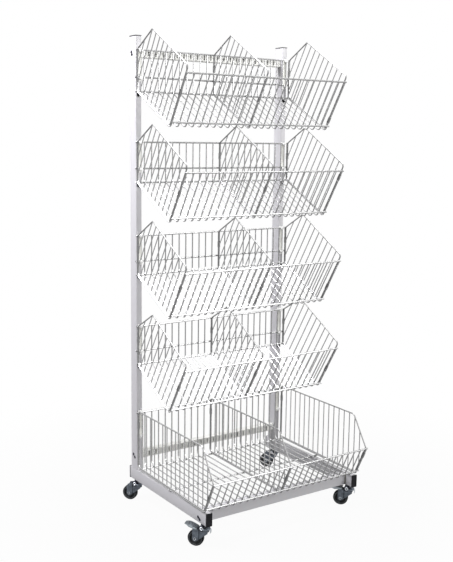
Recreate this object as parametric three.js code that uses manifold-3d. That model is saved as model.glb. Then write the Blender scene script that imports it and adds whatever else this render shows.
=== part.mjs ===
// Mobile wire display rack: two uprights on a low base with four swivel casters,
// four tilted wire baskets and one deep bottom basket. Millimetres, +Z up, front towards -Y.
import * as THREE from 'three';
import { mergeVertices } from 'three/addons/utils/BufferGeometryUtils.js';
import Module from 'manifold-3d';

const wasm = await Module();
wasm.setup();

// Driving dimensions.

// Play left between pieces that only rest or slide on each other.
const clearance = 0.3;
// How far a cutting body runs past what it cuts.
const overrun = 1;

// Frame tube, standing or lying on its narrow side.
const rackWidth = 596;
const tubeWidth = 20;
const tubeDepth = 40;
const tubeWall = 1.5;

// Base rails: how far they run ahead of the uprights' front faces and behind their back faces.
const railReach = 427;
const railTail = 8;
const frontCrossSetback = 31.5;

// Perforated cross rails between the uprights.
const crossTube = 25;
const crossWall = 1.5;
const crossSetback = 7.5;
const lowCrossRise = 36;
const topCrossDrop = 40;
const uprightHeadroom = 41.5;
const slotWidth = 9;
const slotHeight = 15;
const slotPitch = 26;
const slotMargin = 20;

// Plastic caps in the tube ends.
const capThickness = 2.5;
const capLip = 1;
const plugDepth = 12;
const plugWall = 2;

// Wire stock.
const ribWire = 4;
const railWire = 5.5;
const endRail = 5;
const panelBar = 4.5;
const panelWire = 3.5;
const weldDepth = 0.6;
const shortestPanelWire = 20;
const ribCount = 24;
const basketOverhang = 1;
const railOverhang = 5;
// The front rails were trimmed flush with the left panel.
const frontRailStub = 2.5;
const cornerRadius = 10;

// Tilted basket, measured on the side panel: forward from its back edge, up from its back corner.
const panelPitch = 26.5;
const backHeight = 126.5;
const peakForward = 94.5;
const peakHeight = 179.5;
const lipForward = 288.5;
const lipHeight = 41.5;
const lipRise = 20;
const toeForward = 198;
const toeDrop = 108;
const midRailHeight = 41.5;
const backRailHeight = 3;
const frontRailRise = 19;

// Bottom basket, measured the same way.
const binPitch = 26.3;
const binBackHeight = 191;
const binShoulderForward = 389.5;
const binShoulderHeight = 188;
const binLipForward = 451.5;
const binLipHeight = 90;
const binToeForward = 404;
const binToeDrop = 7.5;
const binFrontRailRise = 16.5;
const binBackRailForward = 14;
const binMidRailForward = 208;
const binShoulderRadius = 16;

// Where the baskets hang: the play behind their rails, and the heights of the tilted ones'
// back corners, the lowest above the base rails and the others above the one below.
const backPlay = 1;
const lowestTierRise = 369;
const tierPitch = 297;
const topTierPitch = 284;

// Sleeves that lock a panel to a rib, and how far up each edge they were left.
const sleeveLength = 20;
const sleeveWidth = 8;
const sleeveThickness = 4.6;
const backSleeveDrop = 46;

// Hook brackets on the uprights.
const bracketWidth = 15;
const bracketPlate = 2;
const hookArm = 2.5;
const hookLip = 2.2;
const hookLipRise = 4.5;
const bracketFoot = 13;

// Casters.
const wheelRadius = 25;
const wheelWidth = 18;
const hubWidth = 20;
const hubRadius = 8.5;
const rimRadius = 19;
const rimRecess = 3.5;
const treadChamfer = 2.5;
const axleRadius = 3;
const axleHeadRadius = 5.5;
const axleHeadThickness = 2.5;
const wheelHeadroom = 4.7;
const casterTrail = 28;
const casterTurn = 130;
const headRadius = 19;
const headHeight = 11;
const headStep = 5;
const headFootRadius = 14;
const kingpinRadius = 6;
const kingpinNutRadius = 8.5;
const kingpinNutHeight = 2.6;
const crownRadius = 17;
const crownHeight = 5;
const forkWall = 2;
const legTopWidth = 27;
const legTopBack = 9;
const legFootRadius = 8;
const frontCasterSetback = 21;
const rearCasterSetback = 12;

// Brake pedals on the front casters.
const pedalThickness = 2.2;
const pedalLength = 33;
const pedalTipLength = 9;
const pedalTipDrop = 2;
const pedalHubRadius = 3.4;
const pedalPivotForward = 30.5;
const pedalPivotRise = 7.5;
const pedalEarRadius = 5.5;
const pedalUpAngle = 21;
const pedalDownAngle = 0;

// Sides used for round shapes.
const wheelSides = 16;
const headSides = 14;
const pinSides = 8;

// Derived places.

const casterHeight = 2 * wheelRadius + wheelHeadroom + crownHeight + clearance + headHeight;
const railTop = casterHeight + tubeDepth;
const lowestTierHeight = railTop + lowestTierRise;
const topTierHeight = lowestTierHeight + 2 * tierPitch + topTierPitch;
const uprightTop = topTierHeight + backHeight + uprightHeadroom;
const uprightLength = uprightTop - railTop;
const rackHalf = rackWidth / 2;
const tubeCentreX = rackHalf - tubeWidth / 2;
const innerSpan = rackWidth - 2 * tubeWidth;
const railLength = railReach + tubeDepth + railTail;
// A panel lies inside the ribs, clear of the end rails that the ribs run into.
const panelInset = (endRail + panelBar) / 2 + clearance;
const railOffset = (ribWire + railWire) / 2 - weldDepth;
const basketGap = panelInset + railOffset + railWire / 2 + bracketPlate + backPlay;
const ribSpan = rackWidth + 2 * basketOverhang;
const ribPitch = ribSpan / (ribCount - 1);
const legSpread = hubWidth / 2 + clearance;
const pedalPivotHeight = 2 * wheelRadius + pedalPivotRise;

// Looks.

const framePaint = { color: 0xb9b8bf, roughness: 0.42, metalness: 0.35 };
const wireZinc = { color: 0xb4b4b4, roughness: 0.32, metalness: 0.75 };
const casterZinc = { color: 0x7d8589, roughness: 0.38, metalness: 0.8 };
const blackPlastic = { color: 0x17171a, roughness: 0.5, metalness: 0 };
const wheelRubber = { color: 0x1c1e20, roughness: 0.7, metalness: 0 };

const rack = new THREE.Group();

function place(name, geometry, look, parent = rack, position = [0, 0, 0]) {
  const mesh = new THREE.Mesh(geometry, new THREE.MeshStandardMaterial(look));
  mesh.name = name;
  mesh.position.set(...position);
  parent.add(mesh);
  return mesh;
}

function group(parent, position, turn = 0) {
  const made = new THREE.Group();
  made.position.set(...position);
  made.rotation.z = turn;
  parent.add(made);
  return made;
}

// Joining and cutting.

function solid(geometry) {
  const bare = geometry.clone();
  bare.deleteAttribute('normal');
  bare.deleteAttribute('uv');
  const merged = mergeVertices(bare);
  return new wasm.Manifold(new wasm.Mesh({
    numProp: 3,
    vertProperties: new Float32Array(merged.attributes.position.array),
    triVerts: new Uint32Array(merged.index.array),
  }));
}

function surface(body) {
  const mesh = body.getMesh();
  const geometry = new THREE.BufferGeometry();
  geometry.setAttribute('position', new THREE.BufferAttribute(new Float32Array(mesh.vertProperties), 3));
  geometry.setIndex(new THREE.BufferAttribute(new Uint32Array(mesh.triVerts), 1));
  geometry.computeVertexNormals();
  return geometry;
}

function join(geometries) {
  return geometries.map(solid).reduce((whole, next) => whole.add(next));
}

function cut(body, geometries) {
  return geometries.map(solid).reduce((whole, next) => whole.subtract(next), body);
}

function box(width, depth, height, x, y, z) {
  return new THREE.BoxGeometry(width, depth, height).translate(x, y, z);
}

// Outlines in the plane square to X: forward (towards the front) and up.

function at(forward, up) {
  return new THREE.Vector2(forward, up);
}

function unit(from, to) {
  return to.clone().sub(from).normalize();
}

// The normal on the left of a direction when forward is right and up is up.
function leftOf(direction) {
  return at(-direction.y, direction.x);
}

function crossing(a, aWay, b, bWay) {
  const away = b.clone().sub(a);
  return a.clone().addScaledVector(aWay, away.cross(bWay) / aWay.cross(bWay));
}

// A path with one corner cut off where an arc of the given radius would touch it.
function easeCorner(path, index, radius) {
  const corner = path[index];
  const back = unit(corner, path[(index + path.length - 1) % path.length]);
  const ahead = unit(corner, path[(index + 1) % path.length]);
  const reach = radius / Math.tan(back.angleTo(ahead) / 2);
  const eased = path.slice();
  const start = corner.clone().addScaledVector(back, reach);
  const end = corner.clone().addScaledVector(ahead, reach);
  eased.splice(index, 1, start, end);
  return eased;
}

// A wire swept along a path in that plane, its section given as [along X, along the normal] pairs.
function sweep(path, section, closed) {
  const last = path.length - 1;
  const rings = path.map((point, index) => {
    const before = index > 0 ? path[index - 1] : closed ? path[last] : null;
    const after = index < last ? path[index + 1] : closed ? path[0] : null;
    const wayIn = before ? unit(before, point) : unit(point, after);
    const wayOut = after ? unit(point, after) : wayIn;
    const normal = leftOf(wayIn).add(leftOf(wayOut)).normalize();
    const stretch = 1 / normal.dot(leftOf(wayIn));
    return section.map(([x, n]) => {
      const spot = point.clone().addScaledVector(normal, n * stretch);
      return [x, -spot.x, spot.y];
    });
  });
  const sides = section.length;
  const index = [];
  const spans = closed ? rings.length : last;
  for (let ring = 0; ring < spans; ring += 1) {
    const a = ring * sides;
    const b = ((ring + 1) % rings.length) * sides;
    for (let side = 0; side < sides; side += 1) {
      const next = (side + 1) % sides;
      index.push(a + side, a + next, b + next, a + side, b + next, b + side);
    }
  }
  if (!closed) {
    const end = last * sides;
    for (let side = 1; side < sides - 1; side += 1) {
      index.push(0, side + 1, side, end, end + side, end + side + 1);
    }
  }
  const geometry = new THREE.BufferGeometry();
  geometry.setAttribute('position', new THREE.Float32BufferAttribute(rings.flat(2), 3));
  geometry.setIndex(index);
  return geometry;
}

// Wire sections: round stock drawn with four sides, either on edge or flat towards the normal.
function onEdge(diameter) {
  const half = diameter / 2;
  return [[0, half], [-half, 0], [0, -half], [half, 0]];
}

function flat(side) {
  const half = side / 2;
  return [[half, half], [-half, half], [-half, -half], [half, -half]];
}

// A rail across the basket at one spot, turned so that its edge or flat meets wires running that way.
// It runs past the end ribs, on the left by its own reach.
function crossRail(spot, way, side, turn, leftReach) {
  return new THREE.BoxGeometry(ribSpan + leftReach + railOverhang, side, side)
    .rotateX(turn)
    .rotateX(-way.angle())
    .translate((railOverhang - leftReach) / 2, -spot.x, spot.y);
}

function edgeRail(spot, way, leftReach = railOverhang) {
  return crossRail(spot, way, railWire * Math.SQRT1_2, Math.PI / 4, leftReach);
}

function flatRail(spot, way, leftReach = railOverhang) {
  return crossRail(spot, way, endRail, 0, leftReach);
}

// Baskets.

// Offsets a chain of panel corners outwards to the line of the ribs.
function ribPath(corners) {
  const shifted = corners.slice(1).map((corner, index) => {
    const way = unit(corners[index], corner);
    return { start: corners[index].clone().addScaledVector(leftOf(way), -panelInset), way };
  });
  const path = [shifted[0].start];
  for (let index = 1; index < shifted.length; index += 1) {
    const a = shifted[index - 1];
    const b = shifted[index];
    path.push(crossing(a.start, a.way, b.start, b.way));
  }
  const end = shifted[shifted.length - 1];
  path.push(corners[corners.length - 1].clone().addScaledVector(leftOf(end.way), -panelInset));
  return path;
}

// One side of a basket: a rib between two places, repeated along the rails that it is welded to.
function grid(path, rails) {
  const ribs = [];
  for (let rib = 0; rib < ribCount; rib += 1) {
    ribs.push(sweep(path, onEdge(ribWire), false).translate(rib * ribPitch - ribSpan / 2, 0, 0));
  }
  return join(rails).add(join(ribs));
}

// A basket is one welded piece, drawn as its three flat sides. The ribs' back, floor and front
// stretches meet face to face in two level planes, just above the two bends.
function basketSides(path, backSeamHeight, rails) {
  const [head, heel, bend, front] = path;
  const way = unit(bend, front);
  const backSeam = at(heel.x, backSeamHeight);
  const frontSeam = crossing(bend, way, at(bend.x, bend.y + ribWire), at(1, 0));
  const belowSeam = frontSeam.clone().addScaledVector(way, -ribWire);
  const pastSeam = frontSeam.clone().addScaledVector(way, ribWire);
  const reach = 4 * ribWire + overrun;
  const aboveSeam = box(ribSpan + ribWire + overrun, reach, reach,
    0, -bend.x + ribWire / 2 - reach / 2, frontSeam.y + reach / 2);
  return {
    back: surface(grid([head, backSeam], rails.back)),
    floor: surface(cut(grid([backSeam, heel, bend, pastSeam], rails.floor), [aboveSeam])),
    front: surface(grid([belowSeam, front], rails.front).trimByPlane([0, 0, 1], frontSeam.y)),
  };
}

// A closed frame with straight wires across it and a locking sleeve on its back and front edges.
function panel(outline, wires, sleeves) {
  const parts = [sweep(outline, flat(panelBar), true)];
  wires.forEach(([start, end]) => parts.push(sweep([start, end], onEdge(panelWire), false)));
  sleeves.forEach(([spot, way]) => {
    parts.push(new THREE.BoxGeometry(sleeveWidth, sleeveThickness, sleeveLength)
      .rotateX(Math.PI / 2 - way.angle())
      .translate(0, -spot.x, spot.y));
  });
  return surface(join(parts));
}

// Both ends of a line across a closed outline.
function across(outline, spot, way) {
  const hits = [];
  outline.forEach((corner, index) => {
    const next = outline[(index + 1) % outline.length];
    const side = next.clone().sub(corner);
    const length = side.length();
    const sideWay = side.clone().normalize();
    if (Math.abs(way.cross(sideWay)) < Number.EPSILON) {
      return;
    }
    const hit = crossing(corner, sideWay, spot, way);
    const along = hit.clone().sub(corner).dot(sideWay);
    if (along > 0 && along < length) {
      hits.push(hit);
    }
  });
  return hits;
}

function hatch(outline, start, step, way) {
  const wires = [];
  for (let count = 1; ; count += 1) {
    const ends = across(outline, start.clone().addScaledVector(step, count), way);
    if (ends.length < 2 || ends[0].distanceTo(ends[1]) < shortestPanelWire) {
      return wires;
    }
    wires.push(ends);
  }
}

// Tilted basket.
const backFoot = at(0, 0);
const backHead = at(0, backHeight);
const peak = at(peakForward, peakHeight);
const lip = at(lipForward, lipHeight);
const toe = at(toeForward, -toeDrop);
const frontWay = unit(toe, lip);
const brow = lip.clone().addScaledVector(frontWay, lipRise);
const tiltOutline = easeCorner([backFoot, toe, brow, peak, backHead], 2, cornerRadius);
const tiltRibs = ribPath([backHead, backFoot, toe, lip]);
const up = at(0, 1);
const tiltWires = hatch(tiltOutline, lip, leftOf(frontWay).multiplyScalar(panelPitch), frontWay);

function railBehind(path, height) {
  return at(path[0].x - railOffset, height);
}

function railAhead(path, way, rise) {
  return path[2].clone()
    .addScaledVector(way, rise)
    .addScaledVector(leftOf(way), -railOffset);
}

const tiltSides = basketSides(
  tiltRibs,
  backRailHeight + railWire,
  {
    back: [flatRail(tiltRibs[0], up), edgeRail(railBehind(tiltRibs, midRailHeight), up)],
    floor: [edgeRail(railBehind(tiltRibs, backRailHeight), up)],
    front: [
      edgeRail(railAhead(tiltRibs, frontWay, frontRailRise), frontWay, frontRailStub),
      flatRail(tiltRibs[3], frontWay, frontRailStub),
    ],
  },
);

// Bottom basket.
const binBackHead = at(0, binBackHeight);
const binShoulder = at(binShoulderForward, binShoulderHeight);
const binLip = at(binLipForward, binLipHeight);
const binToe = at(binToeForward, -binToeDrop);
const binFrontWay = unit(binToe, binLip);
const binFloorWay = unit(backFoot, binToe);
const binOutline = easeCorner([backFoot, binToe, binLip, binShoulder, binBackHead], 3, binShoulderRadius);
const binRibs = ribPath([binBackHead, backFoot, binToe, binLip]);
const binWires = hatch(binOutline, backFoot, at(binPitch, 0), up);

function railUnder(forward) {
  return binRibs[1].clone()
    .addScaledVector(binFloorWay, forward)
    .addScaledVector(leftOf(binFloorWay), -railOffset);
}

const binSides = basketSides(
  binRibs,
  binRibs[1].y + ribWire,
  {
    back: [flatRail(binRibs[0], up)],
    floor: [
      edgeRail(railUnder(binBackRailForward), binFloorWay),
      edgeRail(railUnder(binMidRailForward), binFloorWay),
    ],
    front: [
      edgeRail(railAhead(binRibs, binFrontWay, binFrontRailRise), binFrontWay, frontRailStub),
      flatRail(binRibs[3], binFrontWay, frontRailStub),
    ],
  },
);
// The bottom basket's middle floor rail rests on the base rails.
const binHeight = railTop + clearance + railWire / 2 - railUnder(binMidRailForward).y;

// Each tier from the top: its height, which rib its divider is locked to, and how far down the
// front edge the sleeves of its left, middle and right panels were left.
const tiers = [
  { name: 'tier1', height: topTierHeight, rib: 11, sleeveShares: [0.38, 0.45, 0.81] },
  { name: 'tier2', height: lowestTierHeight + 2 * tierPitch, rib: 12, sleeveShares: [0.43, 0.37, 0.15] },
  { name: 'tier3', height: lowestTierHeight + tierPitch, rib: 12, sleeveShares: [0.34, 0.49, 0.64] },
  { name: 'tier4', height: lowestTierHeight, rib: 11, sleeveShares: [0.41, 0.37, 0.55] },
];
const binTier = { name: 'bottom', height: binHeight, rib: 11, sleeveShares: [0.53, 0.48, 0.27] };

function sleeveSpots(head, foot, front, share) {
  return [
    [at(head.x, head.y - backSleeveDrop), up],
    [front.clone().lerp(foot, share), unit(foot, front)],
  ];
}

function hangBasket(tier, grids, outline, wires, [head, foot, front]) {
  const carrier = group(rack, [0, -basketGap, tier.height]);
  Object.entries(grids).forEach(([side, shape]) => {
    place(`${tier.name}_basket_${side}`, shape, wireZinc, carrier);
  });
  const panels = [
    ['left_panel', -ribSpan / 2],
    ['divider', tier.rib * ribPitch - ribSpan / 2],
    ['right_panel', ribSpan / 2],
  ];
  panels.forEach(([name, x], index) => {
    const shape = panel(outline, wires, sleeveSpots(head, foot, front, tier.sleeveShares[index]));
    place(`${tier.name}_${name}`, shape, wireZinc, carrier, [x, 0, 0]);
  });
}

tiers.forEach((tier) => {
  hangBasket(tier, tiltSides, tiltOutline, tiltWires, [backHead, toe, lip]);
});
hangBasket(binTier, binSides, binOutline, binWires, [binBackHead, binToe, binLip]);

// Frame.

function outlineShape(points) {
  return new THREE.Shape(points);
}

function rectangle(width, height) {
  const x = width / 2;
  const y = height / 2;
  return [at(-x, -y), at(x, -y), at(x, y), at(-x, y)];
}

function tube(width, depth, wall, length) {
  const shape = outlineShape(rectangle(width, depth));
  shape.holes.push(new THREE.Path(rectangle(width - 2 * wall, depth - 2 * wall).reverse()));
  return new THREE.ExtrudeGeometry(shape, { depth: length, bevelEnabled: false });
}

function tubeCap() {
  const plate = box(tubeWidth + 2 * capLip, tubeDepth + 2 * capLip, capThickness, 0, 0, capThickness / 2);
  const plugGap = tubeWall + clearance;
  const width = tubeWidth - 2 * plugGap;
  const depth = tubeDepth - 2 * plugGap;
  const height = plugDepth + capThickness / 2;
  const plug = box(width, depth, height, 0, 0, capThickness / 2 - height / 2);
  const hollow = box(width - 2 * plugWall, depth - 2 * plugWall, plugDepth, 0, 0, -plugDepth / 2 - overrun);
  return surface(cut(join([plate, plug]), [hollow]));
}

// A hook bracket, drawn about the back end rail of the basket that it carries. It is welded to
// the upright's front face.
function bracketShape() {
  const wall = -(basketGap - panelInset);
  const root = wall - tubeWall / 2;
  const face = wall + bracketPlate;
  const upperGrip = endRail / 2 + clearance;
  const lowerGrip = railWire / 2 + clearance;
  const midX = -railOffset;
  const midY = midRailHeight - backHeight;
  const upperLip = upperGrip + hookLip;
  const lowerLip = midX + lowerGrip + hookLip;
  const outline = [
    at(root, midY - bracketFoot),
    at(face, midY - bracketFoot),
    at(face, midY - lowerGrip - hookArm),
    at(lowerLip, midY - lowerGrip - hookArm),
    at(lowerLip, midY + hookLip),
    at(lowerLip - hookLip, midY + hookLip),
    at(lowerLip - hookLip, midY - lowerGrip),
    at(face, midY - lowerGrip),
    at(face, -upperGrip - hookArm),
    at(upperLip, -upperGrip - hookArm),
    at(upperLip, hookLipRise),
    at(upperGrip, hookLipRise),
    at(upperGrip, -upperGrip),
    at(face, -upperGrip),
    at(face, hookLipRise),
    at(root, hookLipRise),
  ];
  return new THREE.ExtrudeGeometry(outlineShape(outline), { depth: bracketWidth, bevelEnabled: false })
    .translate(0, 0, -bracketWidth / 2)
    .rotateX(Math.PI / 2)
    .rotateZ(-Math.PI / 2);
}

// Brackets hang a basket between its end rib and the next one in.
function uprightShape(way) {
  const bare = solid(tube(tubeWidth, tubeDepth, tubeWall, uprightLength));
  const brackets = [...tiers, binTier].map((tier) => {
    const head = tier === binTier ? binBackHeight : backHeight;
    return bracketShape().translate(
      way * (ribSpan - ribPitch) / 2 - way * tubeCentreX,
      -basketGap + panelInset - tubeDepth / 2,
      tier.height + head - railTop,
    );
  });
  return surface(bare.add(join(brackets)));
}

const sides = [['left', -1], ['right', 1]];

sides.forEach(([side, way]) => {
  const x = way * tubeCentreX;
  place(`${side}_upright`, uprightShape(way), framePaint, rack, [x, tubeDepth / 2, railTop]);
  place(`${side}_upright_cap`, tubeCap(), blackPlastic, rack, [x, tubeDepth / 2, uprightTop]);

  const rail = tube(tubeWidth, tubeDepth, tubeWall, railLength).rotateX(Math.PI / 2);
  place(`${side}_base_rail`, rail, framePaint, rack,
    [x, tubeDepth + railTail, casterHeight + tubeDepth / 2]);
  place(`${side}_front_end_cap`, tubeCap().rotateX(Math.PI / 2), blackPlastic, rack,
    [x, -railReach, casterHeight + tubeDepth / 2]);
  place(`${side}_rear_end_cap`, tubeCap().rotateX(-Math.PI / 2), blackPlastic, rack,
    [x, tubeDepth + railTail, casterHeight + tubeDepth / 2]);
});

const frontCross = tube(tubeDepth, tubeWidth, tubeWall, innerSpan).rotateY(Math.PI / 2);
place('front_cross_rail', frontCross, framePaint, rack,
  [-innerSpan / 2, -railReach + frontCrossSetback + tubeWidth / 2, casterHeight + tubeDepth / 2]);

function slottedRail() {
  const body = solid(tube(crossTube, crossTube, crossWall, innerSpan).rotateY(Math.PI / 2)
    .translate(-innerSpan / 2, 0, 0));
  const count = Math.floor((innerSpan - 2 * slotMargin) / slotPitch);
  const slots = [];
  for (let slot = 0; slot <= count; slot += 1) {
    const x = (slot - count / 2) * slotPitch;
    slots.push(box(slotWidth, crossTube / 2, slotHeight, x, -crossTube / 2, 0));
  }
  return surface(cut(body, slots));
}

const crossY = crossSetback + crossTube / 2;
const lowCrossZ = railTop + lowCrossRise + crossTube / 2;
const topCrossZ = uprightTop - topCrossDrop - crossTube / 2;
place('low_cross_rail', slottedRail(), framePaint, rack, [0, crossY, lowCrossZ]);
place('top_cross_rail', slottedRail(), framePaint, rack, [0, crossY, topCrossZ]);

// Casters, drawn with the wheel trailing along +X from the swivel axis.

// A turned piece standing on its axis, from pairs of [radius, height].
function turned(profile, facets) {
  return new THREE.LatheGeometry(profile.map(([radius, height]) => at(radius, height)), facets)
    .rotateX(Math.PI / 2);
}

const headBottom = casterHeight - headHeight;
const crownTop = headBottom - clearance;
const crownBottom = crownTop - crownHeight;
const nutTop = crownBottom - clearance;

const headShape = turned([
  [0, casterHeight],
  [headRadius, casterHeight],
  [headRadius, casterHeight - headStep],
  [headFootRadius, headBottom],
  [kingpinRadius, headBottom],
  [kingpinRadius, nutTop],
  [kingpinNutRadius, nutTop],
  [kingpinNutRadius, nutTop - kingpinNutHeight],
  [0, nutTop - kingpinNutHeight],
].reverse(), headSides);

function forkShape(braked) {
  const crown = turned([
    [kingpinRadius + clearance, crownBottom],
    [crownRadius, crownBottom],
    [crownRadius, crownTop],
    [kingpinRadius + clearance, crownTop],
    [kingpinRadius + clearance, crownBottom],
  ], headSides);
  const legTopFront = legTopWidth - legTopBack;
  const foot = [];
  for (let step = 0; step <= pinSides / 2; step += 1) {
    const angle = Math.PI + (step * 2 * Math.PI) / pinSides;
    foot.push(at(
      casterTrail + legFootRadius * Math.cos(angle),
      wheelRadius + legFootRadius * Math.sin(angle),
    ));
  }
  const ear = braked
    ? [at(pedalPivotForward + pedalEarRadius, pedalPivotHeight),
      at(pedalPivotForward, pedalPivotHeight + pedalEarRadius),
      at(legTopFront, crownTop)]
    : [at(legTopFront, crownTop)];
  const outline = outlineShape([...foot, ...ear, at(-legTopBack, crownTop), at(-legTopBack, crownBottom)]);
  const leg = new THREE.ExtrudeGeometry(outline, { depth: forkWall, bevelEnabled: false })
    .rotateX(Math.PI / 2);
  const near = leg.clone().translate(0, -legSpread, 0);
  const far = leg.clone().translate(0, legSpread + forkWall, 0);
  return surface(join([near, far, crown, axleShape()]));
}

function wheelShape() {
  const half = hubWidth / 2;
  const rim = wheelWidth / 2;
  // The tread is drawn with a flat at the floor, so its corners lie a little further out.
  const grow = 1 / Math.cos(Math.PI / wheelSides);
  const bore = (axleRadius + clearance) * grow;
  const tread = wheelRadius * grow;
  const shoulder = (wheelRadius - treadChamfer) * grow;
  const profile = [
    [bore, -half], [hubRadius, -half], [hubRadius, -rim + rimRecess], [rimRadius, -rim + rimRecess],
    [rimRadius, -rim], [shoulder, -rim], [tread, -rim + treadChamfer],
    [tread, rim - treadChamfer], [shoulder, rim],
    [rimRadius, rim], [rimRadius, rim - rimRecess], [hubRadius, rim - rimRecess],
    [hubRadius, half], [bore, half], [bore, -half],
  ];
  return new THREE.LatheGeometry(profile.map(([radius, height]) => at(radius, height)), wheelSides,
    Math.PI / wheelSides);
}

// The axle is riveted into the fork's legs.
function axleShape() {
  const reach = legSpread + forkWall / 2;
  const end = legSpread + forkWall + axleHeadThickness;
  const profile = [
    [0, -end], [axleHeadRadius, -end], [axleHeadRadius, -reach], [axleRadius, -reach],
    [axleRadius, reach], [axleHeadRadius, reach], [axleHeadRadius, end], [0, end],
  ];
  return new THREE.LatheGeometry(profile.map(([radius, height]) => at(radius, height)), pinSides)
    .translate(casterTrail, 0, wheelRadius);
}

function pedalShape(angle) {
  const width = 2 * (legSpread - clearance);
  const hub = new THREE.CylinderGeometry(pedalHubRadius, pedalHubRadius, width, pinSides);
  const plate = box(pedalLength, width, pedalThickness, pedalLength / 2, 0, 0);
  const tip = box(pedalTipLength, width, pedalThickness, pedalLength - pedalTipLength / 2, 0, -pedalTipDrop);
  return surface(join([hub, plate, tip]).rotate([0, -angle, 0]));
}

const casters = [
  ['front_left', -1, -railReach + frontCasterSetback, pedalUpAngle],
  ['front_right', 1, -railReach + frontCasterSetback, pedalDownAngle],
  ['rear_left', -1, rearCasterSetback, null],
  ['rear_right', 1, rearCasterSetback, null],
];

casters.forEach(([name, way, y, pedal]) => {
  const carrier = group(rack, [way * tubeCentreX, y, 0], THREE.MathUtils.degToRad(casterTurn));
  place(`${name}_caster_head`, headShape, casterZinc, carrier);
  place(`${name}_fork`, forkShape(pedal !== null), casterZinc, carrier);
  place(`${name}_wheel`, wheelShape(), wheelRubber, carrier, [casterTrail, 0, wheelRadius]);
  if (pedal !== null) {
    place(`${name}_brake_pedal`, pedalShape(pedal), casterZinc, carrier,
      [pedalPivotForward, 0, pedalPivotHeight]);
  }
});

// The origin is on the floor, at the middle of the whole rack's bounds.
const bounds = new THREE.Box3().setFromObject(rack, true);
const middle = bounds.getCenter(new THREE.Vector3());
rack.position.set(-middle.x, -middle.y, -bounds.min.z);

export default rack;
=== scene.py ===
import math

import bmesh
import bpy
from mathutils import Matrix, Vector
from mathutils.geometry import intersect_line_line_2d


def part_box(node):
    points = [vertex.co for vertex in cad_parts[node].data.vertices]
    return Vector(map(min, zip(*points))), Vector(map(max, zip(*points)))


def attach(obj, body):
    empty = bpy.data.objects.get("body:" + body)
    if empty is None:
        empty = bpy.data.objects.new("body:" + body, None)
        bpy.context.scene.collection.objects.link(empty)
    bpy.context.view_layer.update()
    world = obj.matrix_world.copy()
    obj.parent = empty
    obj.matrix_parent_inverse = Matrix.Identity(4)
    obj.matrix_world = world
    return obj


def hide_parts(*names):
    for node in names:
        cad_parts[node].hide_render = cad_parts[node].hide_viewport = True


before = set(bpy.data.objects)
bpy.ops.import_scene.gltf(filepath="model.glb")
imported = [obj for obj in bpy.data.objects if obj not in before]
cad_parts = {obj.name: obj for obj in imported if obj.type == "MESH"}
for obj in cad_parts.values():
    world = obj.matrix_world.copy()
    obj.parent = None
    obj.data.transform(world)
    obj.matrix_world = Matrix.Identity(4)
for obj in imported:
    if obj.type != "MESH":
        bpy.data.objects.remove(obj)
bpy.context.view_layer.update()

bl_info = {
    "name": "Wire display rack",
    "version": (1, 0, 0),
    "blender": (4, 5, 0),
    "location": "3D View > Sidebar > Rack",
    "description": "Dresses the solid model of a wheeled rack with wire baskets",
    "category": "Object",
}

MM = 0.001

TIERS = (
    ("tier1", "top basket"),
    ("tier2", "second basket"),
    ("tier3", "third basket"),
    ("tier4", "fourth basket"),
    ("bottom", "bottom basket"),
)
# How far down the front edge each panel's clip sits, from the lip: left, divider, right.
CLIP_SHARES = {
    "tier1": (0.38, 0.45, 0.81),
    "tier2": (0.43, 0.37, 0.15),
    "tier3": (0.34, 0.49, 0.64),
    "tier4": (0.41, 0.37, 0.55),
    "bottom": (0.53, 0.48, 0.27),
}
PANELS = ("left_panel", "divider", "right_panel")
BASKET_PARTS = ("back", "floor", "front")
CORNERS = ("front_left", "front_right", "rear_left", "rear_right")
SIDES = ("left", "right")

# Sizes of the solid model that its boxes are read with.
SOLID_RAIL = 5 * MM
SOLID_BAR = 4.6 * MM
CAP_RIM = 1 * MM

RIBS = 24
MOST_WIRES = 40
# Faces that meet at less are shaded smooth, and a plate's edges over the other are eased.
SMOOTH_ANGLE = math.radians(35)
EASED_ANGLE = math.radians(50)


def length(name, text, mm):
    """A length property whose default is given in millimetres."""
    return bpy.props.FloatProperty(
        name=name, description=text, default=mm * MM, min=0, precision=4, unit="LENGTH",
        subtype="DISTANCE"
    )


def turn(name, text, degrees):
    """An angle property whose default is given in degrees."""
    return bpy.props.FloatProperty(
        name=name, description=text, default=math.radians(degrees), unit="ROTATION", subtype="ANGLE"
    )


def tint(name, text, colour):
    """A colour property."""
    return bpy.props.FloatVectorProperty(
        name=name, description=text, default=colour, size=3, min=0, max=1, subtype="COLOR"
    )


def amount(name, text, value, low, high):
    """A plain number property, held between two values."""
    return bpy.props.FloatProperty(name=name, description=text, default=value, min=low, max=high)


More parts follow.
